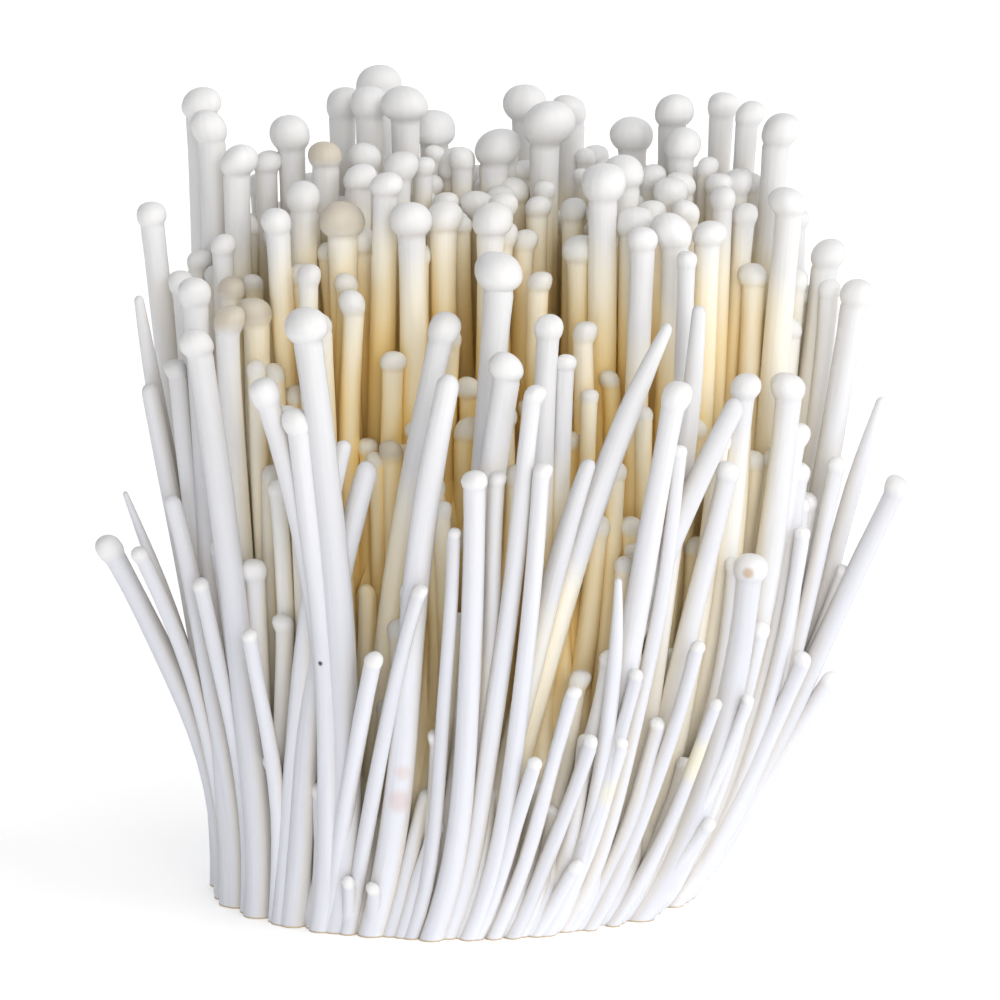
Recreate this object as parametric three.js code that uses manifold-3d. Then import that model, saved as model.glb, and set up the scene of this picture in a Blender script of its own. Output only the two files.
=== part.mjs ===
// A bunch of cultivated enoki mushrooms, cut off flat above the growing block and standing on the cut.
// Millimetres, +Z up, +Y away from the viewer, origin at the middle of the cut face.
// The bunch grew as one body: slim stems with small round caps, grown together in the foot.
import * as THREE from "three";
import { mergeVertices } from "three/addons/utils/BufferGeometryUtils.js";
import Module from "manifold-3d";

// Driving dimensions of the foot and of the way the stems spread above it.
const FOOT_HALF_WIDTH = 34.5;
const FOOT_HALF_DEPTH = 30;
const SPREAD = 0.44; // how much wider the bunch is above than at the cut
const SPREAD_HEIGHT = 40; // most of the spread happens in this height
const SIDE_SHIFT = 7.5; // the bunch leans this far towards +X
const SHIFT_HEIGHT = 20;
const LEAN_POWER = 2; // a stem's own lean grows with its height to this power
const OUTERMOST_FOOT = 0.95; // stems root inside this share of the foot

// A stem's width grows with its cap's, fast on a small cap and slowly on a large one.
const THIN_STEM = { least: 0.7, perCap: 0.58 };
const FULL_STEM = { least: 2.8, perCap: 0.15 };
const STEM_TAPER = 0.16; // how much wider a stem is at its foot than under the cap

// The outline of the top of a mushroom, in shares of the cap's width, the cap's height or the stem's width.
const CAP_HEIGHT = 0.82; // of the cap's width
const RIM_DROP = 0.55; // the widest ring, in cap heights below the top
const SHOULDER = { radius: 0.36, drop: 0.16 }; // in cap widths and cap heights
const BARE_TIP = 0.6; // height of a tip without a cap, in stem widths

// Mesh settings: few sides, and rings mostly low down, where a stem bends most.
const SIDES = 5;
const RING_SPACING = 38;
const RING_POWER = 1.3;
const BELOW_CUT = 2; // stems start this far under the cut, and are cut off with it
const SMALL_CAP = 2.4; // a cap up to this width has no shoulder ring
const SMALLEST_DETAIL = 0.05;

// The slim core that the stems grow together into: height, and share of the bunch's width there.
const CORE_RINGS = [
  [-3, 0.93],
  [5, 0.93],
  [16, 0.8],
  [36, 0.6],
  [60, 0.42],
  [78, 0.28],
  [86, 0.1],
];
const CORE_SIDES = 24;

// Mushrooms with a cap, as they stand: x, y and height of the top, cap width, lean towards +X.
const CAPPED = [
  // the crown, back rows, from left to right
  [-36, 14, 112, 5.6, 0],
  [-34, 8, 110, 5, 0],
  [-23, 10, 109, 5.6, 0],
  [-16, 20, 111, 5, 0],
  [-12, 15, 112, 5.2, 0],
  [-11, 27, 113, 6.6, 0],
  [-7, 11, 113, 6.6, 0],
  [-3, 18, 108, 6.2, 0],
  [5.5, 10, 107, 6.2, 0],
  [10, 19, 111.5, 6.2, 0],
  [12.5, 8, 111.5, 7.4, 0],
  [16.5, 23, 109.5, 5, 0],
  [25, 17, 107.5, 6, 0],
  [30.5, 13, 111.5, 5.6, 0],
  [31.5, 5, 108, 5.2, 0],
  [37.5, 14, 111.5, 4.4, 2],
  [41, 9, 111, 3.9, 3],
  [45, 3, 110.5, 5.2, 3],
  // the crown, middle rows
  [-42.5, 2, 98, 4.2, 0],
  [-30.5, 4, 106, 5.4, 0],
  [-26.5, 9, 104, 4, 0],
  [-21, -3, 102, 4.8, 0],
  [-18, 5, 106, 4.8, 0],
  [-12.5, 7, 105.5, 4.6, 0],
  [-13.5, -1, 104, 4.8, 0],
  [-9.5, -9, 104.5, 4.6, 2],
  [-15.5, -7, 100, 6.2, 0],
  [-6, -13, 101, 5.9, 0],
  [-1.5, -8, 100, 5.4, 0],
  [5, -12, 100.5, 5.6, 0],
  [11.5, 2, 99, 3.7, 0],
  [9.5, -3, 95, 3.7, 0],
  [16.5, 0, 99, 3.9, 0],
  [20.5, -12, 106, 6.2, 0],
  [23.8, -3, 105.5, 5.6, 0],
  [30, -2, 102.3, 4.9, 0],
  [39.2, 4, 102.5, 4.2, 0],
  [37.2, -4, 101.5, 3.7, 0],
  [24.8, -11, 100, 5.3, 0],
  [26, -18, 98.5, 4.2, 0],
  [30.5, -15, 100, 5.6, 0],
  [35, -11, 98, 4.6, 0],
  [46.6, -6, 101.8, 5.2, 2],
  [52, 1, 93, 4.8, 3],
  [56, -5, 88.5, 4.6, 5],
  // the middle tier in front
  [-36, -13, 90.5, 4.8, 0],
  [-31, -6, 89, 4, 0],
  [-27.5, -10, 87, 5, 0],
  [-31.5, -14, 86.5, 4.4, 0],
  [-38.5, -12, 78.5, 3.2, 0],
  [-35.5, -22, 85, 4.8, -4],
  [-20.5, -33, 90, 6, -5],
  [-26.5, -31, 80, 4.2, -11],
  [-21.5, -33, 76, 3.8, -3],
  [-8.5, -18, 68.5, 3.4, 0],
  [-1, -26, 88, 4.5, 11],
  [6.6, -27, 96.5, 6.8, 4],
  [11.6, -12, 91, 3.5, 0],
  [13, -27, 88, 4.1, 1],
  [7.7, -35, 84.5, 4.9, 6],
  [15.3, -26, 82.3, 3, 1],
  [11, -38, 80.5, 3, 5],
  [18.6, -20, 76, 2.5, 0],
  [32, -20, 95.5, 2.9, 0],
  [30.5, -34, 80, 4.1, 6],
  [46.6, -15, 77.5, 4.9, 2],
  // the low tier round the front
  [38, -27, 67.5, 3.4, 6],
  [12, -39, 69.8, 2.7, 2],
  [2.8, -39.5, 68.8, 3.8, 0],
  [5.9, -36, 68, 2.6, 1],
  [31, -33, 71, 2, 3],
  [41, -23, 53.5, 4.8, 0],
  [33.6, -30, 42.8, 2.1, 3],
  [25.3, -34, 39.8, 2.1, 3],
  [16.5, -37, 38, 2.1, 3],
  [19.2, -35.5, 30.8, 2.1, 3],
  [11.3, -36.5, 27.8, 2, 2],
  [-35.3, -20, 49.3, 2.4, 0],
  [-28.4, -27, 43.7, 2.2, 1],
  [-10.8, -37.5, 42.8, 2.6, 10],
  [-4.5, -38.5, 52.6, 2.3, 11],
  // strays that stand out at the sides
  [53.3, -10, 64.5, 2.7, 0],
  [63.5, -10, 61.5, 3.4, 0],
  [54.6, -8, 48.5, 2.1, 0],
  [49, -14, 37.5, 2.6, 0],
  [53, -8, 33, 2.4, 0],
  [48.4, -14, 55.3, 2.2, 0],
  [-50.5, -10, 53, 3.7, 0],
  [-44, -14, 52.3, 2.3, 0],
];

// Stems that end without a cap: x, y and height of the top, stem width, width near the tip, lean.
const BARE = [
  [-44, -4, 86, 2.3, 1.4, -4],
  [-42.5, -8, 74.5, 2.8, 2.6, -4],
  [-39.3, -15, 60, 2.6, 2.4, -2],
  [-46, -8, 59, 1.9, 0.8, 0],
  [-15, -30, 71, 2.9, 2.4, 14],
  [-11.5, -30, 68, 3.1, 3, 14],
  [-0.5, -36, 81.5, 3.3, 3.1, 8],
  [-12, -20, 48.5, 3, 2.6, 0],
  [-16.4, -28, 37.3, 2.2, 2, 0],
  [18.6, -33, 69, 2.9, 2.2, 11],
  [22.5, -36, 53, 2, 1, -2],
  [29.4, -31, 87.5, 3, 1.6, 20],
  [33.6, -28, 89.5, 2.6, 2, 3],
  [59.4, -6, 72, 2.4, 1.2, 0],
  [39, -31, 77, 3.2, 2.8, 19],
];

// The mushrooms between those grow by rule, in rings: share of the foot, and distance along the ring.
const RINGS = [
  [0.93, 4.6],
  [0.8, 5],
  [0.66, 5.6],
  [0.5, 6.4],
  [0.33, 6.6],
  [0.15, 7],
];
const FILL = {
  seed: 20,
  around: 0.3, // random shift along the ring, in places
  across: 0.03, // random shift across the ring, in shares of the foot
  clear: 0.83, // how much of their widths two mushrooms keep between them
  lean: 2.5, // most of a stem's own lean
  crown: 99, // height in the middle
  rimDrop: 24, // how much lower the rim is
  heightJitter: 7,
  frontStart: -12, // in front of this y the tops come down
  frontSlope: 1.9,
  lowRim: 0.86, // outside this share of the foot some stay low
  lowShare: 0.4,
  lowest: 0.35, // height of those, in shares of the others' height
  lowRange: 0.45,
  shortest: 14,
  cap: { least: 2, perHeight: 0.014, random: 0.02 },
};

// Deep gaps of the front that the rule leaves open: x at the bottom, change of x with height, half the
// width, height of the bottom, and y at the back.
const GAPS = [
  [-15, 0.23, 3.8, 33, -18],
  [13, 0.12, 3, 44, -18],
  [12, 0, 4, 80, 4],
  [1.5, 0, 2.5, 84, -6],
];
const GAP_STEPS = 4;

// The same numbers from 0 to 1 on each run.
function seededRandom(seed) {
  let state = seed;
  return () => {
    state = (Math.imul(state, 1664525) + 1013904223) >>> 0;
    return state / 4294967296;
  };
}

const spreadAt = (z) => 1 + SPREAD * (1 - Math.exp(-z / SPREAD_HEIGHT));
const shiftAt = (z) => SIDE_SHIFT * (1 - Math.exp(-z / SHIFT_HEIGHT));
const rimShare = (x, y) => Math.hypot(x / FOOT_HALF_WIDTH, y / FOOT_HALF_DEPTH);

// A stem's width under a cap of this width.
function stemUnder(cap) {
  const thin = THIN_STEM.least + THIN_STEM.perCap * cap;
  return Math.min(thin, FULL_STEM.least + FULL_STEM.perCap * cap);
}

// Finds where a mushroom roots from where its top stands, and how far it leans out of the fan.
function rooted(x, y, height, lean) {
  const spread = spreadAt(height);
  const shift = shiftAt(height);
  let footX = (x - shift - lean) / spread;
  let footY = y / spread;
  const pull = Math.max(1, rimShare(footX, footY) / OUTERMOST_FOOT);
  footX /= pull;
  footY /= pull;
  return { footX, footY, leanX: x - shift - footX * spread, leanY: y - footY * spread, height };
}

// The middle of a stem at height z.
function stemPoint(m, z) {
  const own = (Math.max(z, 0) / m.height) ** LEAN_POWER;
  const x = m.footX * spreadAt(z) + shiftAt(z) + m.leanX * own;
  const y = m.footY * spreadAt(z) + m.leanY * own;
  return new THREE.Vector3(x, y, z);
}

// True if two mushrooms stay apart at a few heights, caps included.
function standClear(a, b, share) {
  const low = Math.min(a.height, b.height);
  for (const part of [0.25, 0.5, 0.75, 1]) {
    const z = low * part;
    const p = stemPoint(a, z);
    const q = stemPoint(b, z);
    const widthOf = (m) => (m.height - z < m.cap ? Math.max(m.cap, m.stem) : m.stem);
    if (p.distanceTo(q) < (share * (widthOf(a) + widthOf(b))) / 2) return false;
  }
  return true;
}

// True if a mushroom would stand in one of the gaps.
function fillsGap(m) {
  return GAPS.some(([x, slope, half, bottom, back]) => {
    if (m.height <= bottom) return false;
    for (let i = 0; i <= GAP_STEPS; i++) {
      const rise = ((m.height - bottom) * i) / GAP_STEPS;
      const p = stemPoint(m, bottom + rise);
      if (p.y < back && Math.abs(p.x - x - slope * rise) < half) return true;
    }
    return false;
  });
}

// The height of a stem that grows by rule: a crown that falls to the rim and in front.
function ruleHeight(footX, footY, random) {
  const rim = rimShare(footX, footY);
  const y = footY * (1 + SPREAD);
  const front = FILL.frontSlope * Math.max(0, FILL.frontStart - y);
  const tall = FILL.crown - FILL.rimDrop * rim ** 4 - front + FILL.heightJitter * (2 * random() - 1);
  const isLow = rim > FILL.lowRim && random() < FILL.lowShare;
  const share = isLow ? FILL.lowest + FILL.lowRange * random() : 1;
  return Math.max(FILL.shortest, tall * share);
}

// One mushroom of the rule, rooted at this share of the foot and this angle round it.
function ruleMushroom(share, angle, random) {
  const footX = FOOT_HALF_WIDTH * share * Math.cos(angle);
  const footY = FOOT_HALF_DEPTH * share * Math.sin(angle);
  const height = ruleHeight(footX, footY, random);
  const leanX = FILL.lean * (2 * random() - 1);
  const leanY = FILL.lean * (2 * random() - 1);
  const cap = FILL.cap.least + height * (FILL.cap.perHeight + FILL.cap.random * random());
  return { footX, footY, leanX, leanY, height, cap, stem: stemUnder(cap) };
}

// Every mushroom of the bunch: those placed one by one, then the rule's, ring by ring.
function growBunch() {
  const grown = [];
  for (const [x, y, height, cap, lean] of CAPPED)
    grown.push({ ...rooted(x, y, height, lean), cap, stem: stemUnder(cap) });
  for (const [x, y, height, stem, tip, lean] of BARE)
    grown.push({ ...rooted(x, y, height, lean), cap: 0, stem, tip });
  const random = seededRandom(FILL.seed);
  for (const [ring, step] of RINGS) {
    const count = Math.round((Math.PI * ring * (FOOT_HALF_WIDTH + FOOT_HALF_DEPTH)) / step);
    for (let i = 0; i < count; i++) {
      const angle = ((i + FILL.around * (2 * random() - 1)) / count) * 2 * Math.PI;
      const share = ring + FILL.across * (2 * random() - 1);
      const m = ruleMushroom(share, angle, random);
      if (!fillsGap(m) && grown.every((other) => standClear(m, other, FILL.clear))) grown.push(m);
    }
  }
  return grown;
}

// Half the outline of a mushroom that stands straight: stem, neck, cap rim, shoulder and top.
function outlineOf(m) {
  const points = [new THREE.Vector2(0, -BELOW_CUT)];
  const stem = m.stem / 2;
  const head = m.cap ? m.cap * CAP_HEIGHT : m.stem * BARE_TIP;
  const neck = m.height - head;
  const steps = Math.max(1, Math.round(m.height / RING_SPACING));
  for (let i = 0; i <= steps; i++) {
    const share = (i / steps) ** RING_POWER;
    const radius = stem * (1 + STEM_TAPER * (1 - share));
    points.push(new THREE.Vector2(radius, -BELOW_CUT + share * (neck + BELOW_CUT)));
  }
  if (m.cap) {
    points.push(new THREE.Vector2(m.cap / 2, m.height - RIM_DROP * head));
    if (m.cap > SMALL_CAP)
      points.push(new THREE.Vector2(SHOULDER.radius * m.cap, m.height - SHOULDER.drop * head));
  } else {
    points[points.length - 1].x = m.tip / 2;
  }
  points.push(new THREE.Vector2(0, m.height));
  return points;
}

// Bends a straight turned shape along the mushroom's own line, square to it all the way up.
function bendAlong(geometry, m) {
  const position = geometry.attributes.position;
  const ahead = new THREE.Vector3();
  for (let i = 0; i < position.count; i++) {
    const z = position.getY(i);
    const middle = stemPoint(m, z);
    ahead.copy(stemPoint(m, z + 1)).sub(stemPoint(m, z - 1)).normalize();
    const side = new THREE.Vector3(1, 0, 0).addScaledVector(ahead, -ahead.x).normalize();
    const across = new THREE.Vector3().crossVectors(side, ahead);
    middle.addScaledVector(side, position.getX(i)).addScaledVector(across, position.getZ(i));
    position.setXYZ(i, middle.x, middle.y, middle.z);
  }
  return geometry;
}

function mushroomGeometry(m, turn) {
  return bendAlong(new THREE.LatheGeometry(outlineOf(m), SIDES, turn), m);
}

// The core follows the same fan as the stems, narrower.
function coreGeometry() {
  const profile = [new THREE.Vector2(0, CORE_RINGS[0][0])];
  for (const [z, share] of CORE_RINGS) profile.push(new THREE.Vector2(share, z));
  profile.push(new THREE.Vector2(0, CORE_RINGS.at(-1)[0]));
  const geometry = new THREE.LatheGeometry(profile, CORE_SIDES);
  const position = geometry.attributes.position;
  for (let i = 0; i < position.count; i++) {
    const z = position.getY(i);
    const spread = spreadAt(Math.max(z, 0));
    const x = position.getX(i) * FOOT_HALF_WIDTH * spread + shiftAt(Math.max(z, 0));
    const y = -position.getZ(i) * FOOT_HALF_DEPTH * spread;
    position.setXYZ(i, x, y, z);
  }
  return geometry;
}

const wasm = await Module();
wasm.setup();

// A closed three.js geometry as a solid that can be joined and cut.
function solidOf(geometry) {
  geometry.deleteAttribute("normal");
  geometry.deleteAttribute("uv");
  const merged = mergeVertices(geometry, 1e-4);
  const vertProperties = merged.attributes.position.array;
  const triVerts = new Uint32Array(merged.index.array);
  return new wasm.Manifold(new wasm.Mesh({ numProp: 3, vertProperties, triVerts }));
}

function geometryOf(solid) {
  const mesh = solid.getMesh();
  return new THREE.BufferGeometry()
    .setAttribute("position", new THREE.BufferAttribute(mesh.vertProperties, 3))
    .setIndex(new THREE.BufferAttribute(mesh.triVerts, 1));
}

// Joins all stems to the core, cuts the foot flat, and keeps the outer skin of the one body.
function bunchGeometry() {
  const random = seededRandom(FILL.seed + 1);
  let joined = solidOf(coreGeometry());
  for (const m of growBunch())
    joined = joined.add(solidOf(mushroomGeometry(m, random() * Math.PI)));
  const cut = joined.trimByPlane([0, 0, 1], 0).simplify(SMALLEST_DETAIL);
  const skins = cut.decompose().sort((a, b) => b.volume() - a.volume());
  return geometryOf(skins[0]).toNonIndexed();
}

const geometry = bunchGeometry();
geometry.computeVertexNormals();

const flesh = new THREE.MeshStandardMaterial({ color: 0xf4efdf, roughness: 0.55, metalness: 0 });

const bunch = new THREE.Mesh(geometry, flesh);
bunch.name = "bunch";

const enoki = new THREE.Group();
enoki.add(bunch);

export default enoki;
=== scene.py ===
import math
from dataclasses import dataclass

import bpy
import numpy as np
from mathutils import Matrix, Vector


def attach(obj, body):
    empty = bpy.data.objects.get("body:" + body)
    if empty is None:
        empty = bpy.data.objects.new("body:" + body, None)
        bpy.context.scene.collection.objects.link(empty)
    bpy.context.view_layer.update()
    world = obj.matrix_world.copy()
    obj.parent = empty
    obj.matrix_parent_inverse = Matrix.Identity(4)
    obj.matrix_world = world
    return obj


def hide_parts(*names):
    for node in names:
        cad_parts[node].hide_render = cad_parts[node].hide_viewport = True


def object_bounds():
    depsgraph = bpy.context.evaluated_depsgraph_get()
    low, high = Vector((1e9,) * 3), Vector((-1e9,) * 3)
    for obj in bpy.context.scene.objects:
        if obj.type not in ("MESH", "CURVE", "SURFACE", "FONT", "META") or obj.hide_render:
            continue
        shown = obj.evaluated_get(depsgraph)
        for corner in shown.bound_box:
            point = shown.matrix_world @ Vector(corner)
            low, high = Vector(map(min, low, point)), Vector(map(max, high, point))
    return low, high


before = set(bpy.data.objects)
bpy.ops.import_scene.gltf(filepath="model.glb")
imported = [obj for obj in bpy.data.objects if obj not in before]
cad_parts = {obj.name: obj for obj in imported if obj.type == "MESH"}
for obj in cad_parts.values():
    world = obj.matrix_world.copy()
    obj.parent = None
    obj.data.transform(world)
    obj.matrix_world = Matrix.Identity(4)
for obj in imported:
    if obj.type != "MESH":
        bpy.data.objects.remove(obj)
cad_box = [list(corner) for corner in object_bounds()]

# Lengths below are in millimetres, as the bunch is measured, and become metres in each mesh.
MM = 0.001

# The foot, and the way the stems spread above it: the same fan as the solid's.
FOOT_HALF_WIDTH = 34.5
FOOT_HALF_DEPTH = 30
SPREAD = 0.44
SPREAD_HEIGHT = 40
SIDE_SHIFT = 7.5
SHIFT_HEIGHT = 20
LEAN_POWER = 2
OUTERMOST_FOOT = 0.95
TALLEST = 113

# A stem's width grows with its cap's, fast on a small cap and slowly on a large one.
THIN_STEM = (0.7, 0.58)
FULL_STEM = (2.8, 0.15)
STEM_TAPER = 0.16

# Mushrooms with a cap, as they stand: x, y and height of the top, cap width, lean towards +X.
CROWN_BACK = [
    (-36, 14, 112, 5.6, 0), (-34, 8, 110, 5, 0), (-23, 10, 109, 5.6, 0), (-16, 20, 111, 5, 0),
    (-12, 15, 112, 5.2, 0), (-11, 27, 113, 6.6, 0), (-7, 11, 113, 6.6, 0), (-3, 18, 108, 6.2, 0),
    (5.5, 10, 107, 6.2, 0), (10, 19, 111.5, 6.2, 0), (12.5, 8, 111.5, 7.4, 0), (16.5, 23, 109.5, 5, 0),
    (25, 17, 107.5, 6, 0), (30.5, 13, 111.5, 5.6, 0), (31.5, 5, 108, 5.2, 0), (37.5, 14, 111.5, 4.4, 2),
    (41, 9, 111, 3.9, 3), (45, 3, 110.5, 5.2, 3),
]
CROWN_FRONT = [
    (-42.5, 2, 98, 4.2, 0), (-30.5, 4, 106, 5.4, 0), (-26.5, 9, 104, 4, 0), (-21, -3, 102, 4.8, 0),
    (-18, 5, 106, 4.8, 0), (-12.5, 7, 105.5, 4.6, 0), (-13.5, -1, 104, 4.8, 0), (-9.5, -9, 104.5, 4.6, 2),
    (-15.5, -7, 100, 6.2, 0), (-6, -13, 101, 5.9, 0), (-1.5, -8, 100, 5.4, 0), (5, -12, 100.5, 5.6, 0),
    (11.5, 2, 99, 3.7, 0), (9.5, -3, 95, 3.7, 0), (16.5, 0, 99, 3.9, 0), (20.5, -12, 106, 6.2, 0),
    (23.8, -3, 105.5, 5.6, 0), (30, -2, 102.3, 4.9, 0), (39.2, 4, 102.5, 4.2, 0), (37.2, -4, 101.5, 3.7, 0),
    (24.8, -11, 100, 5.3, 0), (26, -18, 98.5, 4.2, 0), (30.5, -15, 100, 5.6, 0), (35, -11, 98, 4.6, 0),
    (46.6, -6, 101.8, 5.2, 2), (52, 1, 93, 4.8, 3), (56, -5, 88.5, 4.6, 5),
]
MIDDLE_TIER = [
    (-36, -13, 90.5, 4.8, 0), (-31, -6, 89, 4, 0), (-27.5, -10, 87, 5, 0), (-31.5, -14, 86.5, 4.4, 0),
    (-38.5, -12, 78.5, 3.2, 0), (-35.5, -22, 85, 4.8, -4), (-20.5, -33, 90, 6, -5),
    (-26.5, -31, 80, 4.2, -11), (-21.5, -33, 76, 3.8, -3), (-8.5, -18, 68.5, 3.4, 0), (-1, -26, 88, 4.5, 11),
    (6.6, -27, 96.5, 6.8, 4), (11.6, -12, 91, 3.5, 0), (13, -27, 88, 4.1, 1), (7.7, -35, 84.5, 4.9, 6),
    (15.3, -26, 82.3, 3, 1), (11, -38, 80.5, 3, 5), (18.6, -20, 76, 2.5, 0), (32, -20, 95.5, 2.9, 0),
    (30.5, -34, 80, 4.1, 6), (46.6, -15, 77.5, 4.9, 2),
]
LOW_TIER = [
    (38, -27, 67.5, 3.4, 6), (12, -39, 69.8, 2.7, 2), (2.8, -39.5, 68.8, 3.8, 0), (5.9, -36, 68, 2.6, 1),
    (31, -33, 71, 2, 3), (41, -23, 53.5, 4.8, 0), (33.6, -30, 42.8, 2.1, 3), (25.3, -34, 39.8, 2.1, 3),
    (16.5, -37, 38, 2.1, 3), (19.2, -35.5, 30.8, 2.1, 3), (11.3, -36.5, 27.8, 2, 2),
    (-35.3, -20, 49.3, 2.4, 0), (-28.4, -27, 43.7, 2.2, 1), (-10.8, -37.5, 42.8, 2.6, 10),
    (-4.5, -38.5, 52.6, 2.3, 11),
]
STRAYS = [
    (53.3, -10, 64.5, 2.7, 0), (63.5, -10, 61.5, 3.4, 0), (54.6, -8, 48.5, 2.1, 0), (49, -14, 37.5, 2.6, 0),
    (53, -8, 33, 2.4, 0), (48.4, -14, 55.3, 2.2, 0), (-50.5, -10, 53, 3.7, 0), (-44, -14, 52.3, 2.3, 0),
]
CAPPED = CROWN_BACK + CROWN_FRONT + MIDDLE_TIER + LOW_TIER + STRAYS

# Stems that end without a cap: x, y and height of the top, stem width, width near the tip, lean.
BARE = [
    (-44, -4, 86, 2.3, 1.4, -4), (-42.5, -8, 74.5, 2.8, 2.6, -4), (-39.3, -15, 60, 2.6, 2.4, -2),
    (-46, -8, 59, 1.9, 0.8, 0), (-15, -30, 71, 2.9, 2.4, 14), (-11.5, -30, 68, 3.1, 3, 14),
    (-0.5, -36, 81.5, 3.3, 3.1, 8), (-12, -20, 48.5, 3, 2.6, 0), (-16.4, -28, 37.3, 2.2, 2, 0),
    (18.6, -33, 69, 2.9, 2.2, 11), (22.5, -36, 53, 2, 1, -2), (29.4, -31, 87.5, 3, 1.6, 20),
    (33.6, -28, 89.5, 2.6, 2, 3), (59.4, -6, 72, 2.4, 1.2, 0), (39, -31, 77, 3.2, 2.8, 19),
]

# Pinheads near the foot that the solid leaves out.
PINHEADS = [
    (0, -38, 60.5, 1.8, 1), (36.3, -28, 34, 1.8, 1), (41, -24, 33.7, 1.8, 1), (23.4, -33.5, 30, 1.8, 1),
    (17, -32.5, 12, 1.9, 0), (35.8, -22, 15.5, 1.9, 1), (-14.7, -29.5, 9, 1.8, 0), (-11.2, -31, 8.5, 1.8, 0),
]

# The mushrooms between those grow by rule, in rings: share of the foot, and distance along the ring.
RINGS = [(0.93, 4.6), (0.8, 5), (0.66, 5.6), (0.5, 6.4), (0.33, 6.6), (0.15, 7)]
FILL_SEED = 20
AROUND = 0.3
ACROSS = 0.03
OWN_LEAN = 2.5
CROWN = 99
RIM_FALL = 24
RIM_POWER = 4
HEIGHT_JITTER = 7
FRONT_START = -12
FRONT_SLOPE = 1.9
LOW_RIM = 0.86
LOW_SHARE = 0.4
LOWEST = 0.35
LOW_RANGE = 0.45
SHORTEST = 14
RULE_CAP = (2, 0.014, 0.02)
RULE_CLEAR = 0.83
CLEAR_HEIGHTS = (0.25, 0.5, 0.75, 1)

# A second, finer rule puts more mushrooms wherever there is still room.
FINE_RINGS = [
    (0.95, 3.2), (0.89, 3.2), (0.82, 3.2), (0.74, 3.3), (0.65, 3.4), (0.56, 3.5), (0.47, 3.6),
    (0.37, 3.8), (0.27, 4), (0.17, 4.2), (0.06, 5),
]
FINE_PASSES = [(51, 0.66), (52, 0.58), (53, 0.5)]
FINE_CAP = 0.86

# Their heights: a share of the first rule's in front of this y, and nearly the crown's behind it.
FINE_FRONT = -4
FRONT_SHARE = (0.68, 0.27)
BEHIND_TOP = 105
BEHIND_FALL = 12
BEHIND_RANGE = (11, 16)
LOW_BEHIND = 66

# Deep gaps of the front that the rules leave open: x at the bottom, change of x with height, half the
# width, height of the bottom, and y at the back.
GAPS = [(-15, 0.23, 3.8, 33, -18), (13, 0.12, 3, 44, -18), (12, 0, 4, 80, 4), (1.5, 0, 2.5, 84, -6)]
GAP_STEPS = 4

# Caps with painted shade, a tan or grey-brown tinge: x and y of the top.
SHADED_TAN_TOPS = [(-15.5, -7), (-31, -6), (-27.5, -10), (-31.5, -14), (-8.5, -18), (-18, 5)]


def seeded_random(seed):
    """The same numbers from 0 to 1 on each run."""
    state = seed

    def draw():
        nonlocal state
        state = (state * 1664525 + 1013904223) % 4294967296
        return state / 4294967296

    return draw


@dataclass
class Mushroom:
    foot_x: float
    foot_y: float
    lean_x: float
    lean_y: float
    height: float
    cap: float
    stem: float
    tip: float = 0.0


def spread_at(z):
    return 1 + SPREAD * (1 - np.exp(-z / SPREAD_HEIGHT))


def shift_at(z):
    return SIDE_SHIFT * (1 - np.exp(-z / SHIFT_HEIGHT))


def rim_share(x, y):
    return math.hypot(x / FOOT_HALF_WIDTH, y / FOOT_HALF_DEPTH)


def stem_under(cap):
    """A stem's width under a cap of this width."""
    return min(THIN_STEM[0] + THIN_STEM[1] * cap, FULL_STEM[0] + FULL_STEM[1] * cap)


def rooted(x, y, height, lean, cap, stem, tip=0.0):
    """A mushroom whose top stands at x and y: it roots where the fan leads down to, inside the foot."""
    spread = spread_at(height)
    shift = shift_at(height)
    foot_x = (x - shift - lean) / spread
    foot_y = y / spread
    pull = max(1, rim_share(foot_x, foot_y) / OUTERMOST_FOOT)
    foot_x /= pull
    foot_y /= pull
    lean_x = x - shift - foot_x * spread
    lean_y = y - foot_y * spread
    return Mushroom(foot_x, foot_y, lean_x, lean_y, height, cap, stem, tip)


def stem_line(m, z):
    """The middle of a stem at each height in z."""
    own = (np.maximum(z, 0) / m.height) ** LEAN_POWER
    x = m.foot_x * spread_at(z) + shift_at(z) + m.lean_x * own
    y = m.foot_y * spread_at(z) + m.lean_y * own
    return np.stack([x, y, z], axis=-1)


def stand_clear(a, b, share):
    """True if two mushrooms stay apart at a few heights, caps included."""
    heights = min(a.height, b.height) * np.array(CLEAR_HEIGHTS)
    apart = np.linalg.norm(stem_line(a, heights) - stem_line(b, heights), axis=1)
    widths = 0
    for m in (a, b):
        in_cap = m.height - heights < m.cap
        widths = widths + np.where(in_cap, max(m.cap, m.stem), m.stem)
    return bool(np.all(apart >= share * widths / 2))


def fills_gap(m):
    """True if a mushroom would stand in one of the gaps."""
    for x, slope, half, bottom, back in GAPS:
        if m.height > bottom:
            rise = (m.height - bottom) * np.arange(GAP_STEPS + 1) / GAP_STEPS
            line = stem_line(m, bottom + rise)
            within = (line[:, 1] < back) & (np.abs(line[:, 0] - x - slope * rise) < half)
            if within.any():
                return True
    return False


def rule_height(foot_x, foot_y, random):
    """The height of a mushroom that grows by rule: a crown that falls to the rim and in front."""
    rim = rim_share(foot_x, foot_y)
    y = foot_y * (1 + SPREAD)
    front = FRONT_SLOPE * max(0, FRONT_START - y)
    tall = CROWN - RIM_FALL * rim**RIM_POWER - front + HEIGHT_JITTER * (2 * random() - 1)
    is_low = rim > LOW_RIM and random() < LOW_SHARE
    share = LOWEST + LOW_RANGE * random() if is_low else 1
    return max(SHORTEST, tall * share)


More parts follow.
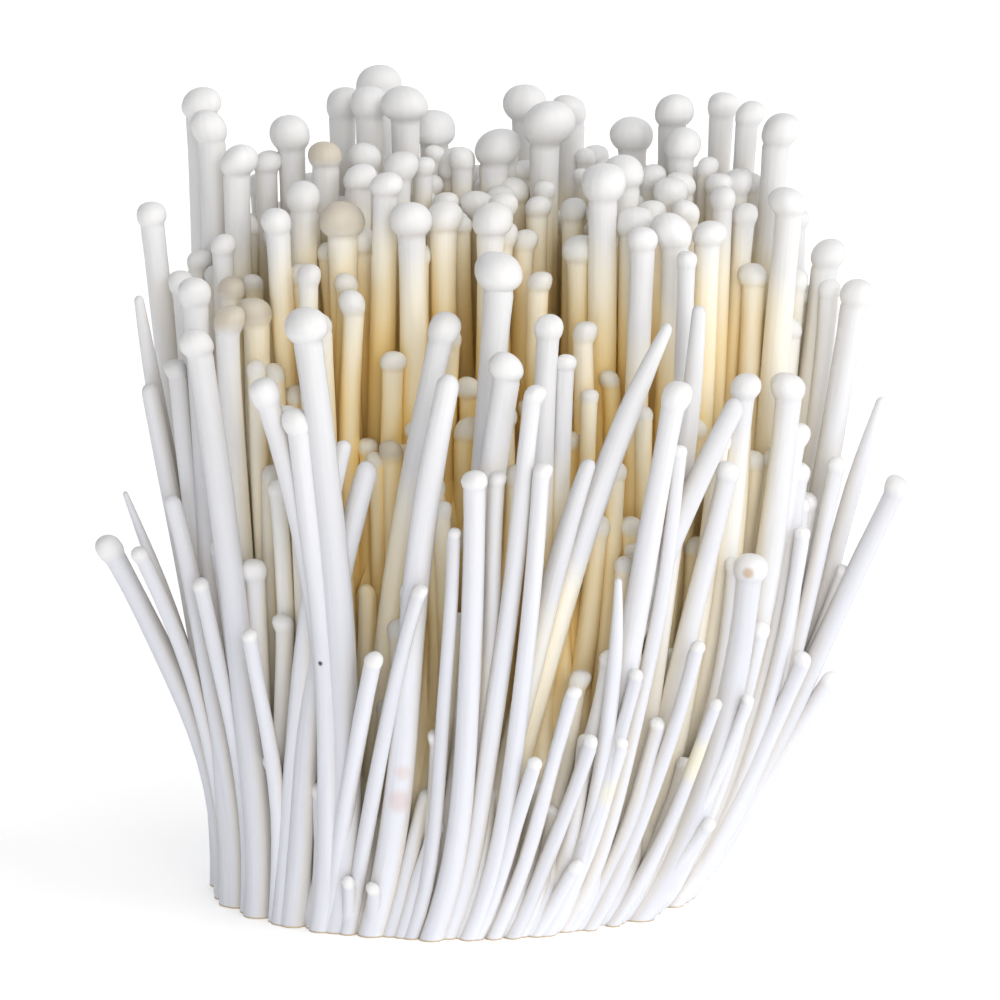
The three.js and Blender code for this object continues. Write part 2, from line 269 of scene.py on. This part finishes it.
def rule_mushroom(share, angle, random):
    """One mushroom of the rule, rooted at this share of the foot and this angle round it."""
    foot_x = FOOT_HALF_WIDTH * share * math.cos(angle)
    foot_y = FOOT_HALF_DEPTH * share * math.sin(angle)
    height = rule_height(foot_x, foot_y, random)
    lean_x = OWN_LEAN * (2 * random() - 1)
    lean_y = OWN_LEAN * (2 * random() - 1)
    least, per_height, varied = RULE_CAP
    cap = least + height * (per_height + varied * random())
    return Mushroom(foot_x, foot_y, lean_x, lean_y, height, cap, stem_under(cap))


def ring_places(rings, random):
    """The places of the rule's mushrooms, ring by ring: share of the foot, and angle."""
    for ring, step in rings:
        around = math.pi * ring * (FOOT_HALF_WIDTH + FOOT_HALF_DEPTH)
        count = math.floor(around / step + 0.5)
        for i in range(count):
            angle = (i + AROUND * (2 * random() - 1)) / count * 2 * math.pi
            yield ring + ACROSS * (2 * random() - 1), angle


def grow_main():
    """The mushrooms that the solid has too."""
    grown = [rooted(x, y, height, lean, cap, stem_under(cap)) for x, y, height, cap, lean in CAPPED]
    grown += [rooted(x, y, height, lean, 0, stem, tip) for x, y, height, stem, tip, lean in BARE]
    random = seeded_random(FILL_SEED)
    for share, angle in ring_places(RINGS, random):
        m = rule_mushroom(share, angle, random)
        if not fills_gap(m) and all(stand_clear(m, other, RULE_CLEAR) for other in grown):
            grown.append(m)
    return grown


def fine_height(m, random):
    """The height of a mushroom of the finer rule."""
    share = random()
    if m.foot_y < FINE_FRONT or m.height < LOW_BEHIND:
        return m.height * (FRONT_SHARE[0] + FRONT_SHARE[1] * share)
    near_rim = rim_share(m.foot_x, m.foot_y) ** RIM_POWER
    return BEHIND_TOP - BEHIND_FALL * near_rim - (BEHIND_RANGE[0] + BEHIND_RANGE[1] * near_rim) * share


def grow_between(grown):
    """The pinheads, and the mushrooms of the finer rule between the others."""
    added = [rooted(x, y, height, lean, cap, stem_under(cap)) for x, y, height, cap, lean in PINHEADS]
    for seed, clear in FINE_PASSES:
        random = seeded_random(seed)
        for share, angle in ring_places(FINE_RINGS, random):
            m = rule_mushroom(share, angle, random)
            m.height = fine_height(m, random)
            m.cap *= FINE_CAP
            m.stem = stem_under(m.cap)
            if rim_share(m.foot_x, m.foot_y) > OUTERMOST_FOOT or fills_gap(m):
                continue
            if all(stand_clear(m, other, clear) for other in grown + added):
                added.append(m)
    return added


# The seed of the front row's form. Each row behind it has the next number.
FORM_SEED = 101

# The form of stems and caps, in shares of their width unless a line says millimetres.
SIDES = 14
TIP_STEPS = 4
RING_STEP = 4.2  # mm
FEWEST_RINGS = 9
STEM_BELLY = 0.05
STEM_UNEVEN = 0.03
UNEVEN_WAVES = (1, 2)
SWAY_WAVES = (0.6, 0.7)
FOOT_FLARE = 0.1
FOOT_FLARE_HEIGHT = 5  # mm
WOBBLE = (0.1, 0.4)  # mm
FULL_WOBBLE_HEIGHT = 70  # mm
UPRIGHT_HEIGHT = 4  # mm
DOME = (0.4, 0.11)
UNDER = (0.26, 0.14)
SQUARE = (2.0, 0.45)
NECK = 0.12
NECK_FLARE = 0.07
NECK_FLARE_HEIGHT = 1.5  # mm
WIDEST_NECK = 0.93
TIP_START = 0.55
TIP_CURVE = 1.5
CAP_ROOM = 1.08
SKEW = 0.2
OFF_ROUND = 0.045
DENT = 0.035
UNDER_STEPS = 5
DOME_STEPS = 8
TIP_LENGTH = 14  # mm
BOX_MARGIN = 0.25  # mm


def keep_inside(m):
    """Leans a mushroom in until its top, as wide as it is, stays inside the solid's box."""
    top = stem_line(m, np.array([m.height]))[0]
    reach = max(m.cap, m.tip) / 2 * CAP_ROOM + BOX_MARGIN
    low = np.array(cad_box[0]) / MM + reach
    high = np.array(cad_box[1]) / MM - reach
    m.lean_x += float(np.clip(top[0], low[0], high[0]) - top[0])
    m.lean_y += float(np.clip(top[1], low[1], high[1]) - top[1])


def stem_rings(m, neck, random):
    """Heights and radii of a stem up to its neck, a little uneven, and wider at the foot."""
    count = max(FEWEST_RINGS, math.ceil(neck / RING_STEP))
    z = np.linspace(0, neck, count + 1)
    share = z / neck
    waves = UNEVEN_WAVES[0] + UNEVEN_WAVES[1] * random()
    phase = 2 * math.pi * random()
    uneven = STEM_UNEVEN * np.sin(waves * 2 * math.pi * share + phase)
    belly = STEM_BELLY * np.sin(math.pi * share)
    foot = FOOT_FLARE * np.exp(-z / FOOT_FLARE_HEIGHT)
    under_cap = NECK_FLARE * np.exp((z - neck) / NECK_FLARE_HEIGHT) if m.cap else 0
    radius = m.stem / 2 * (1 + STEM_TAPER * (1 - share) + belly + uneven + foot + under_cap)
    return z, radius


def cap_rings(m, random):
    """Heights and radii of a cap, from its neck over the rim to the top, and the neck's height."""
    dome = m.cap * (DOME[0] + DOME[1] * random())
    under = m.cap * (UNDER[0] + UNDER[1] * random())
    square = 2 / (SQUARE[0] + SQUARE[1] * random())
    start = math.acos(min(WIDEST_NECK, (1 + NECK_FLARE) * m.stem / m.cap))
    angles = np.linspace(start, 0, UNDER_STEPS + 1)
    low_radius = m.cap / 2 * np.cos(angles)
    low_z = m.height - dome - under * np.sin(angles) / math.sin(start)
    angles = np.linspace(0, math.pi / 2, DOME_STEPS + 1)[1:]
    high_radius = m.cap / 2 * np.maximum(np.cos(angles), 0) ** square
    high_z = m.height - dome * (1 - np.sin(angles) ** square)
    neck = m.height - dome - under - NECK * m.cap
    return np.concatenate([low_z, high_z]), np.concatenate([low_radius, high_radius]), neck


def tip_rings(m):
    """Heights and radii of the rounded end of a stem without a cap, and where it starts."""
    start = m.height - m.tip * TIP_START
    angles = np.linspace(0, math.pi / 2, TIP_STEPS + 1)[1:]
    z = start + (m.height - start) * np.sin(angles)
    return z, m.tip / 2 * np.cos(angles), start


def outline(m, random):
    """Heights and radii of a whole mushroom, and how far each ring belongs to the cap."""
    if m.cap:
        top_z, top_radius, neck = cap_rings(m, random)
        z, radius = stem_rings(m, neck, random)
        on_cap = np.minimum(np.arange(len(top_z)) / UNDER_STEPS, 1.0)
    else:
        top_z, top_radius, neck = tip_rings(m)
        z, radius = stem_rings(m, neck, random)
        near_tip = np.clip((z - neck + TIP_LENGTH) / TIP_LENGTH, 0, 1) ** TIP_CURVE
        radius = radius * (1 - near_tip) + m.tip / 2 * near_tip
        on_cap = np.zeros(len(top_z))
    cap_part = np.concatenate([np.zeros(len(z)), on_cap])
    return np.concatenate([z, top_z]), np.concatenate([radius, top_radius]), cap_part, neck


def unit(rows):
    return rows / np.linalg.norm(rows, axis=-1, keepdims=True)


def swayed_line(m, z, neck, random):
    """A mushroom's own middle line: the fan's line, with a slight sway and a cap that sits a little askew."""
    line = stem_line(m, z)
    share = np.clip(z / m.height, 0, 1)
    for axis in (0, 1):
        swing = (WOBBLE[0] + WOBBLE[1] * random()) * min(1, m.height / FULL_WOBBLE_HEIGHT)
        waves = SWAY_WAVES[0] + SWAY_WAVES[1] * random()
        phase = 2 * math.pi * random()
        line[:, axis] += swing * 4 * share * (1 - share) * np.sin(2 * math.pi * waves * share + phase)
        line[:, axis] += SKEW * (2 * random() - 1) * np.clip(z - neck, 0, None)
    return line


def mushroom_mesh(m, places, random):
    """Points, faces and the values that the flesh's colour reads, for one closed mushroom."""
    z, radius, cap_part, neck = outline(m, random)
    line = swayed_line(m, z, neck, random)
    ahead = unit(stem_line(m, z + 1) - stem_line(m, z - 1))
    upright = np.exp(-z / UPRIGHT_HEIGHT)[:, None]
    ahead = unit(ahead * (1 - upright) + np.array([0, 0, 1]) * upright)
    side = unit(np.array([1, 0, 0]) - ahead * ahead[:, :1])
    across = np.cross(ahead, side)
    theta = np.arange(SIDES) / SIDES * 2 * math.pi + 2 * math.pi * random()
    oval = 1 + OFF_ROUND * random() * np.cos(2 * theta + 2 * math.pi * random())
    dents = DENT * np.sin(3 * theta + 2 * math.pi * random())
    rings = radius[:, None] * (oval[None] + dents[None] * cap_part[:, None])
    outward = (
        np.cos(theta)[None, :, None] * side[:, None] + np.sin(theta)[None, :, None] * across[:, None]
    )
    points = (line[:, None] + rings[..., None] * outward)[:-1].reshape(-1, 3)
    points[:, 2] = np.maximum(points[:, 2], 0)
    points = np.concatenate([points, line[:1], line[-1:]])
    points[-2, 2] = 0
    slope = np.gradient(radius, np.maximum(z, 0) + np.arange(len(z)) * 1e-6)
    level = 1 / np.sqrt(1 + slope**2)
    facing = (outward * level[:, None, None])[:-1].reshape(-1, 3)
    facing = np.concatenate([facing, np.zeros((2, 3))])
    values = {
        "cap_part": np.concatenate([np.repeat(cap_part[:-1], SIDES), [0], cap_part[-1:]]),
        "tone": np.full(len(points), own_tone(m, random)),
        "depth": depth_inside(points),
        "crowd": crowding(points, facing, places),
        "grain": own_grain(m, z, theta, random),
        "heart": np.concatenate([np.zeros(len(points) - 2), [1, 0]]),
    }
    return points, ring_faces(len(z) - 1), values


def own_tone(m, random):
    """A mushroom's own tone: drawn at random, and at its highest for the caps that get painted tan shade."""
    shade = SPREAD_OF_TONES * random()
    top = stem_line(m, np.array([m.height]))[0]
    return SHADED_CAP_TONE if any(math.dist(top[:2], place) < SAME_PLACE for place in SHADED_TAN_TOPS) else shade


def own_grain(m, z, theta, random):
    """Where each point lies in the grain of the flesh, which runs along the stem."""
    start = np.array([random(), random(), random()]) * GRAIN_ROOM
    rows = np.zeros((len(z) - 1, SIDES, 3))
    rows[:, :, 0] = np.cos(theta) * m.stem / 2
    rows[:, :, 1] = np.sin(theta) * m.stem / 2
    rows[:, :, 2] = z[:-1, None] * GRAIN_STRETCH
    ends = [[0, 0, 0], [0, 0, z[-1] * GRAIN_STRETCH]]
    return np.concatenate([rows.reshape(-1, 3), ends]) + start


def ring_faces(rings):
    """Faces of a closed shape of rings, with a middle point below and one on top as its last points."""
    bottom = rings * SIDES
    faces = []
    for ring in range(rings - 1):
        low = ring * SIDES
        high = low + SIDES
        for i in range(SIDES):
            j = (i + 1) % SIDES
            faces.append((low + i, low + j, high + j, high + i))
    last = (rings - 1) * SIDES
    for i in range(SIDES):
        j = (i + 1) % SIDES
        faces.append((bottom, j, i))
        faces.append((last + i, last + j, bottom + 1))
    return faces


# What the colour of the flesh depends on, its painted shade and bounce light included. Lengths are in
# millimetres.
GRAIN_STRETCH = 0.05
GRAIN_ROOM = 100
DEEP = 32
TOP_ROOM = 8
FROM_ABOVE = 0.65
OWN_REACH = 1.7
SPREAD_OF_TONES = 0.8
# The tone that marks a cap for painted tan shade.
SHADED_CAP_TONE = 1.0
SAME_PLACE = 0.1
CROWD_REACH = 8
CROWD_GAIN = 0.8


def depth_inside(points):
    """How deep points lie under the outside of the bunch, from the side or from above: 0 to 1. It sets the
    painted bounce light and painted shade inside the bunch.
    """
    z = np.maximum(points[:, 2], 0)
    spread = spread_at(z)
    x = (points[:, 0] - shift_at(z)) / (FOOT_HALF_WIDTH * spread)
    y = points[:, 1] / (FOOT_HALF_DEPTH * spread)
    rim = np.hypot(x, y)
    from_side = (1 - rim) * FOOT_HALF_DEPTH * spread
    lower_in_front = FRONT_SLOPE * np.maximum(0, FRONT_START - points[:, 1])
    from_above = CROWN + TOP_ROOM - RIM_FALL * rim**RIM_POWER - lower_in_front - z
    return np.clip(np.minimum(from_side, from_above * FROM_ABOVE) / DEEP, 0, 1)


def stem_places(mushrooms):
    """Where every stem stands at each whole millimetre of height; no number above its top."""
    heights = np.arange(0.0, TALLEST + 2)
    places = np.full((len(heights), len(mushrooms), 2), np.nan)
    for i, m in enumerate(mushrooms):
        count = int(m.height) + 1
        places[:count, i] = stem_line(m, heights[:count])[:, :2]
    return places


def crowding(points, facing, places):
    """How closely other stems stand in front of a surface at each of its points: 0 to 1. It sets the painted
    shade between the stems.
    """
    levels = np.clip(np.round(points[:, 2]), 0, len(places) - 1).astype(int)
    crowd = np.zeros(len(points))
    for level in np.unique(levels):
        here = levels == level
        stems = places[level]
        stems = stems[~np.isnan(stems[:, 0])]
        to_stem = stems[None] - points[here, None, :2]
        away = np.linalg.norm(to_stem, axis=-1)
        ahead = np.sum(to_stem * facing[here, None, :2], axis=-1) / np.maximum(away, 0.1)
        near = np.clip(1 - (away - OWN_REACH) / CROWD_REACH, 0, 1)
        crowd[here] = np.sum(np.clip(ahead, 0, 1) * near, axis=1)
    return 1 - np.exp(-crowd * CROWD_GAIN)


SHARP_ANGLE = math.radians(60)


def make_piece(name, points, faces, values, material):
    """A mesh object in metres that stands for the bunch's solid, with its named values."""
    mesh = bpy.data.meshes.new(name)
    mesh.from_pydata((points * MM).tolist(), [], faces)
    for key, rows in values.items():
        kind = "FLOAT_VECTOR" if rows.ndim > 1 else "FLOAT"
        attribute = mesh.attributes.new(key, kind, "POINT")
        attribute.data.foreach_set("vector" if rows.ndim > 1 else "value", rows.astype(np.float32).ravel())
    mesh.polygons.foreach_set("use_smooth", [True] * len(mesh.polygons))
    mesh.set_sharp_from_angle(angle=SHARP_ANGLE)
    mesh.materials.append(material)
    piece = bpy.data.objects.new(name, mesh)
    bpy.context.scene.collection.objects.link(piece)
    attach(piece, "root")
    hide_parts("bunch")
    return piece


def join_mushrooms(mushrooms, seed, places):
    """Points, faces and values of many mushrooms as one mesh."""
    random = seeded_random(seed)
    all_points = []
    all_faces = []
    all_values = {}
    count = 0
    for m in mushrooms:
        points, faces, values = mushroom_mesh(m, places, random)
        all_points.append(points)
        all_faces += [tuple(count + corner for corner in face) for face in faces]
        for key, rows in values.items():
            all_values.setdefault(key, []).append(rows)
        count += len(points)
    joined = {key: np.concatenate(rows) for key, rows in all_values.items()}
    return np.concatenate(all_points), all_faces, joined


# The foot, where the stems are grown together: height, and share of the bunch's width there.
FOOT_RINGS = [
    (0.2, 0.92), (1, 0.925), (3, 0.925), (6, 0.915), (10, 0.88), (16, 0.81), (24, 0.73), (34, 0.64),
    (46, 0.55), (58, 0.42), (67, 0.28), (73, 0.12),
]
FOOT_SIDES = 252
FOOT_RIBS = 63
RIB_HEIGHT = 0.032
FOOT_LUMPS = [(0.01, 5, 1), (0.008, 9, 0)]
FOOT_TOP_RISE = 4  # mm
FOOT_TONE = 0.4


def foot_mesh(places):
    """The grown-together foot: a ribbed core inside the stems, with the flat cut below."""
    theta = np.arange(FOOT_SIDES) / FOOT_SIDES * 2 * math.pi
    ribs = RIB_HEIGHT * np.abs(np.sin(theta * FOOT_RIBS / 2))
    lumps = sum(height * np.sin(theta * count + start) for height, count, start in FOOT_LUMPS)
    rows = []
    for z, share in FOOT_RINGS:
        radius = share + ribs + lumps
        x = FOOT_HALF_WIDTH * spread_at(z) * radius * np.cos(theta) + shift_at(z)
        y = FOOT_HALF_DEPTH * spread_at(z) * radius * np.sin(theta)
        rows.append(np.stack([x, y, np.full(FOOT_SIDES, float(z))], axis=-1))
    top = FOOT_RINGS[-1][0]
    ends = np.array([[0, 0, FOOT_RINGS[0][0]], [shift_at(top), 0, top + FOOT_TOP_RISE]])
    points = np.concatenate(rows + [ends])
    faces = []
    for ring in range(len(FOOT_RINGS) - 1):
        low = ring * FOOT_SIDES
        for i in range(FOOT_SIDES):
            j = (i + 1) % FOOT_SIDES
            faces.append((low + i, low + j, low + FOOT_SIDES + j, low + FOOT_SIDES + i))
    bottom = len(FOOT_RINGS) * FOOT_SIDES
    last = bottom - FOOT_SIDES
    for i in range(FOOT_SIDES):
        j = (i + 1) % FOOT_SIDES
        faces.append((bottom, j, i))
        faces.append((last + i, last + j, bottom + 1))
    facing = np.stack([np.cos(theta), np.sin(theta), 0 * theta], axis=-1)
    facing = np.concatenate([np.tile(facing, (len(FOOT_RINGS), 1)), np.zeros((2, 3))])
    values = {
        "cap_part": np.zeros(len(points)),
        "tone": np.full(len(points), FOOT_TONE),
        "depth": depth_inside(points),
        "crowd": crowding(points, facing, places),
        "grain": points * np.array([1, 1, GRAIN_STRETCH]),
        "heart": np.zeros(len(points)),
    }
    return points, faces, values


def set_range(node, between, to):
    """Sets what a map range node reads from and gives."""
    names = ("From Min", "From Max", "To Min", "To Max")
    for name, number in zip(names, (*between, *to)):
        node.inputs[name].default_value = number


class Graph:
    """A material's nodes, made and joined with short calls."""

    def __init__(self, name):
        self.material = bpy.data.materials.new(name)
        self.material.use_nodes = True
        self.nodes = self.material.node_tree.nodes
        self.links = self.material.node_tree.links
        self.shader = self.nodes["Principled BSDF"]

    def put(self, kind, settings=None, **inputs):
        node = self.nodes.new(kind)
        for key, value in (settings or {}).items():
            setattr(node, key, value)
        for key, value in inputs.items():
            self.feed(node.inputs[key.replace("_", " ")], value)
        return node

    def feed(self, socket, value):
        if isinstance(value, bpy.types.NodeSocket):
            self.links.new(value, socket)
        else:
            socket.default_value = value

    def value(self, name):
        return self.put("ShaderNodeAttribute", {"attribute_name": name}).outputs["Fac"]

    def vector(self, name):
        return self.put("ShaderNodeAttribute", {"attribute_name": name}).outputs["Vector"]

    def ramp(self, value, between, to=(0.0, 1.0)):
        node = self.put("ShaderNodeMapRange", {"interpolation_type": "SMOOTHSTEP"}, Value=value)
        set_range(node, between, to)
        return node.outputs["Result"]

    def math(self, operation, first, second):
        node = self.put("ShaderNodeMath", {"operation": operation})
        self.feed(node.inputs[0], first)
        self.feed(node.inputs[1], second)
        return node.outputs[0]

    def mix(self, share, first, second, blend="MIX"):
        node = self.put("ShaderNodeMix", {"data_type": "RGBA", "blend_type": blend})
        self.feed(node.inputs["Factor"], share)
        self.feed(node.inputs[6], first)
        self.feed(node.inputs[7], second)
        return node.outputs[2]

    def distance(self, vector, point):
        node = self.put("ShaderNodeVectorMath", {"operation": "DISTANCE"})
        self.feed(node.inputs[0], vector)
        self.feed(node.inputs[1], point)
        return node.outputs["Value"]

    def grey(self, value):
        return self.put("ShaderNodeCombineColor", None, Red=value, Green=value, Blue=value).outputs[0]

    def cut_face(self, height, colour):
        """The cut below shows the stems' ends, each paler in its middle."""
        ends = self.mix(self.ramp(self.value("heart"), CUT_FROM_HEART), CUT_EDGE, CUT)
        return self.mix(self.ramp(height, CUT_FROM_HEIGHT), colour, ends)

    def noise(self, vector, scale, detail):
        return self.put("ShaderNodeTexNoise", None, Vector=vector, Scale=scale, Detail=detail).outputs["Fac"]


COOL_WHITE = (0.735, 0.75, 0.815, 1)
# Cream higher up is the flesh's own colour; cream inside the bunch is painted bounce light.
CREAM_AND_INNER_BOUNCE = (0.945, 0.915, 0.815, 1)
# Painted shade: gold deep between the stems.
GOLD_GAP_SHADE = (1.0, 0.75, 0.29, 1)
# Painted shade between the stems.
GAP_SHADE_TINT = (1.0, 0.95, 0.85, 1)
CAP_WHITE = (0.85, 0.85, 0.855, 1)
# Painted shade on caps deep in the bunch.
CAP_DEEP_SHADE = (0.86, 0.83, 0.74, 1)
# Painted shade: tan on the listed caps.
CAP_TAN_SHADE = (0.66, 0.6, 0.5, 1)
CUT = (0.78, 0.7, 0.52, 1)
CUT_EDGE = (0.5, 0.4, 0.26, 1)
FIBRE_TINT = (0.75, 0.72, 0.62, 1)

# Where each colour starts and is full, in depth, crowd, tone or metres of height.
INNER_BOUNCE_FROM_DEPTH = (0.02, 0.3)
CREAM_FROM_HEIGHT = (0.03, 0.1)
CREAM_AT_TOP = 0.35
GAP_SHADE_FROM_CROWD = (0.2, 0.9)
GOLD_SHADE_FROM_DEPTH = (0.14, 0.6)
GOLD_SHADE_FROM_CROWD = (0.0, 0.85)
GOLD_SHADE_SHARE = (0.55, 1.0)
CAP_SHADE_FROM_DEPTH = (0.0, 0.6)
TAN_SHADE_FROM_TONE = (0.85, 0.99)
DARKEST_TONE = 0.93
CUT_FROM_HEIGHT = (0.00035, 0.0001)
CUT_FROM_HEART = (0.0, 0.6)
FIBRE_SCALE = 1.6
FIBRES = (0.35, 0.7)
FIBRE_SHARE = 0.08
FIBRE_RELIEF = (0.3, 0.0002)
ROUGHNESS = (0.42, 0.6)
SPECULAR = 0.4

# Small marks: a place near the surface and a size in millimetres, a strength, and a colour.
MARK_CORE = 0.3
MARKS = [
    ((-19.4, -37, 41), 0.5, 0.95, (0.03, 0.025, 0.02, 1)),
    ((40.4, -25.8, 51.2), 1.2, 0.7, (0.5, 0.33, 0.18, 1)),
    ((-7.6, -34, 20), 2.4, 0.3, (0.6, 0.3, 0.22, 1)),
    ((-7.2, -34, 26), 1.6, 0.25, (0.66, 0.36, 0.28, 1)),
    ((33, -33, 25), 4.5, 0.4, (0.9, 0.82, 0.42, 1)),
    ((27, -36, 19), 3.0, 0.3, (0.88, 0.8, 0.45, 1)),
]


def marks_on(points):
    """Each mark's place moved to the nearest point of the surface, and in metres."""
    spots = []
    for place, size, strength, colour in MARKS:
        nearest = points[np.argmin(np.linalg.norm(points - np.array(place), axis=1))]
        spots.append((tuple(float(value) * MM for value in nearest), size * MM, strength, colour))
    return spots


def flesh_material(spots):
    """Moist white flesh: cool and pale outside and low down, creamier higher up; painted bounce light makes
    it cream inside, painted shade tints it where stems crowd and makes it gold deep between them, and painted
    shade darkens deep caps and a few listed caps.
    """
    graph = Graph("mushroom_flesh")
    place = graph.put("ShaderNodeTexCoord").outputs["Object"]
    height = graph.put("ShaderNodeSeparateXYZ", None, Vector=place).outputs["Z"]
    grain = graph.vector("grain")
    depth = graph.value("depth")
    crowd = graph.value("crowd")
    tone = graph.value("tone")
    cap_part = graph.value("cap_part")

    # Painted bounce light: cream inside the bunch, by depth. The cream higher up, by height, is the flesh's
    # own colour.
    inner_bounce = graph.ramp(depth, INNER_BOUNCE_FROM_DEPTH)
    from_height = graph.ramp(height, CREAM_FROM_HEIGHT, (0.0, CREAM_AT_TOP))
    creamy_and_inner_bounce = graph.math("MAXIMUM", inner_bounce, from_height)
    stem = graph.mix(creamy_and_inner_bounce, COOL_WHITE, CREAM_AND_INNER_BOUNCE)
    # Painted shade: darker and warmer where other stems crowd in front.
    stem = graph.mix(graph.ramp(crowd, GAP_SHADE_FROM_CROWD), stem, GAP_SHADE_TINT, "MULTIPLY")
    # Painted shade: gold deep in the bunch where other stems crowd in front.
    closeness = graph.ramp(crowd, GOLD_SHADE_FROM_CROWD, GOLD_SHADE_SHARE)
    gold_gap_shade = graph.math("MULTIPLY", graph.ramp(depth, GOLD_SHADE_FROM_DEPTH), closeness)
    stem = graph.mix(gold_gap_shade, stem, GOLD_GAP_SHADE)
    # Painted shade: caps deep in the bunch are darker and warmer.
    cap = graph.mix(graph.ramp(depth, CAP_SHADE_FROM_DEPTH), CAP_WHITE, CAP_DEEP_SHADE)
    # Painted shade: tan on the caps whose tops are listed.
    cap = graph.mix(graph.ramp(tone, TAN_SHADE_FROM_TONE), cap, CAP_TAN_SHADE)
    colour = graph.mix(cap_part, stem, cap)
    shade = graph.ramp(tone, (0.0, SPREAD_OF_TONES), (DARKEST_TONE, 1.0))
    colour = graph.mix(1.0, colour, graph.grey(shade), "MULTIPLY")

    fibres = graph.noise(grain, FIBRE_SCALE, 1.0)
    streaks = graph.ramp(fibres, FIBRES, (0.0, FIBRE_SHARE))
    colour = graph.mix(streaks, colour, FIBRE_TINT, "MULTIPLY")
    for spot, size, strength, tint in spots:
        away = graph.distance(place, spot)
        colour = graph.mix(graph.ramp(away, (size, size * MARK_CORE), (0.0, strength)), colour, tint)
    colour = graph.cut_face(height, colour)
    graph.feed(graph.shader.inputs["Base Color"], colour)

    strength, distance = FIBRE_RELIEF
    bump = graph.put("ShaderNodeBump", None, Strength=strength, Distance=distance, Height=fibres)
    graph.feed(graph.shader.inputs["Normal"], bump.outputs["Normal"])
    graph.feed(graph.shader.inputs["Roughness"], graph.ramp(fibres, (0.3, 0.7), ROUGHNESS))
    graph.shader.inputs["Specular IOR Level"].default_value = SPECULAR
    return graph.material


def floor_material():
    graph = Graph("floor")
    graph.shader.inputs["Base Color"].default_value = (0.97, 0.97, 0.97, 1)
    graph.shader.inputs["Emission Color"].default_value = (1, 1, 1, 1)
    graph.shader.inputs["Emission Strength"].default_value = FLOOR_GLOW
    graph.shader.inputs["Roughness"].default_value = 0.7
    return graph.material


FLOOR_SIZE = 3.0
FLOOR_GLOW = 0.36
DIM_SIDE = 0.17
BRIGHT_SIDE = 0.76
TARGET = Vector((0.0063, 0.0, 0.056))
ELEVATION = math.radians(12.5)
CAMERA_DISTANCE = 1.5
FRAME_WIDTH = 0.14
SENSOR = 36.0


def make_floor():
    mesh = bpy.data.meshes.new("floor")
    half = FLOOR_SIZE
    corners = [(-half, -half, 0), (half, -half, 0), (half, half, 0), (-half, half, 0)]
    mesh.from_pydata(corners, [], [(0, 1, 2, 3)])
    mesh.materials.append(floor_material())
    floor = bpy.data.objects.new("floor", mesh)
    bpy.context.scene.collection.objects.link(floor)


def make_sun(name, strength, angle, towards, colour):
    data = bpy.data.lights.new(name, "SUN")
    data.energy = strength
    data.angle = math.radians(angle)
    data.color = colour
    sun = bpy.data.objects.new(name, data)
    sun.rotation_euler = Vector(towards).to_track_quat("-Z", "Y").to_euler()
    bpy.context.scene.collection.objects.link(sun)


def make_light():
    make_sun("key", 0.95, 60, (-1.0, 0.4, -0.8), (1.0, 0.99, 0.97))
    make_sun("fill", 1.0, 35, (-0.2, 1.0, -0.36), (1.0, 0.98, 0.95))
    make_sun("back", 0.5, 60, (0.2, -1.0, -0.5), (1.0, 1.0, 1.0))
    world = bpy.data.worlds.new("studio")
    world.use_nodes = True
    nodes = world.node_tree.nodes
    links = world.node_tree.links
    background = nodes["Background"]
    background.inputs["Color"].default_value = (0.99, 0.99, 1.0, 1)
    direction = nodes.new("ShaderNodeSeparateXYZ")
    links.new(nodes.new("ShaderNodeTexCoord").outputs["Generated"], direction.inputs[0])
    sides = nodes.new("ShaderNodeMapRange")
    set_range(sides, (-1, 1), (DIM_SIDE, BRIGHT_SIDE))
    links.new(direction.outputs["X"], sides.inputs["Value"])
    links.new(sides.outputs["Result"], background.inputs["Strength"])
    bpy.context.scene.world = world


def make_camera():
    data = bpy.data.cameras.new("camera")
    data.sensor_width = SENSOR
    data.lens = SENSOR * CAMERA_DISTANCE / FRAME_WIDTH
    data.clip_end = 20
    camera = bpy.data.objects.new("camera", data)
    back = Vector((0, -math.cos(ELEVATION), math.sin(ELEVATION)))
    camera.location = TARGET + back * CAMERA_DISTANCE
    camera.rotation_euler = (-back).to_track_quat("-Z", "Y").to_euler()
    bpy.context.scene.collection.objects.link(camera)
    bpy.context.scene.camera = camera


make_camera()
make_light()
make_floor()

grown = grow_main()
grown += grow_between(grown)
for mushroom in grown:
    keep_inside(mushroom)
places = stem_places(grown)
from_front = sorted(grown, key=lambda m: m.foot_y)
quarter = math.ceil(len(grown) / 4)
meshes = {"foot": foot_mesh(places)}
for number, name in enumerate(("front", "front_middle", "back_middle", "back")):
    part = from_front[number * quarter : (number + 1) * quarter]
    meshes[name + "_mushrooms"] = join_mushrooms(part, FORM_SEED + number, places)
spots = marks_on(np.concatenate([points for points, _, _ in meshes.values()]))
flesh = flesh_material(spots)
for name, (points, faces, values) in meshes.items():
    make_piece(name, points, faces, values, flesh)

bpy.context.scene.view_settings.view_transform = "Standard"
